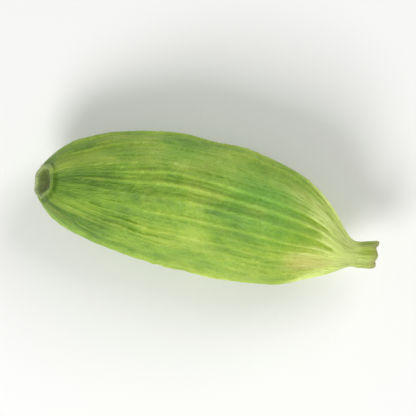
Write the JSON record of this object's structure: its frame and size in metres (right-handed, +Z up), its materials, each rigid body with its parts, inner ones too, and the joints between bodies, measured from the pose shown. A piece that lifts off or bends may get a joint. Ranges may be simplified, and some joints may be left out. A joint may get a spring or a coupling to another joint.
{
  "type": "green cardamom pod",
  "caption": "Dried green cardamom pod: a plump ribbed spindle of rounded triangular section, with a stalk scar at its base and a short hollow beak, lying on one face.",
  "frame": {"origin": "under the middle of the pod's box, on the surface that the pod lies on", "axes": "+X along the pod from the stalk scar to the beak, +Y to the side that it bows to, +Z up"},
  "size_m": [0.018, 0.007, 0.0068],
  "materials": {
    "husk": "satin"
  },
  "bodies": {
    "root": {"pod": "husk"}
  },
  "joints": []
}
